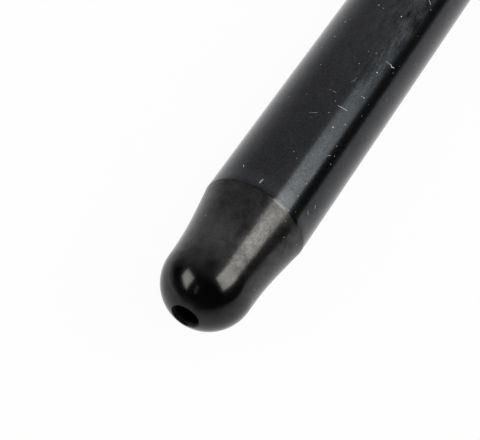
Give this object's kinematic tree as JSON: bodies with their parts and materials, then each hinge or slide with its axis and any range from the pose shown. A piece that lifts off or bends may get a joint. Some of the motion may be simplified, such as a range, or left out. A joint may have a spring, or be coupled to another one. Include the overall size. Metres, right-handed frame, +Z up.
{
  "type": "engine pushrod",
  "caption": "Hollow steel engine pushrod: straight ground tube whose ends taper past a fine shoulder to ball tips, each pierced by an oil hole. Black oxide finish.",
  "frame": {"origin": "middle of the rod, on its axis", "axes": "+X along the rod's axis towards one ball, +Z up, with the rod lying level"},
  "size_m": [0.2098, 0.0094, 0.0096],
  "materials": {
    "black_oxide_steel": "black oxide, oiled; ground satin on the tube and slightly more matt on the swaged ends"
  },
  "bodies": {
    "root": {"pushrod": "black_oxide_steel"}
  },
  "joints": []
}
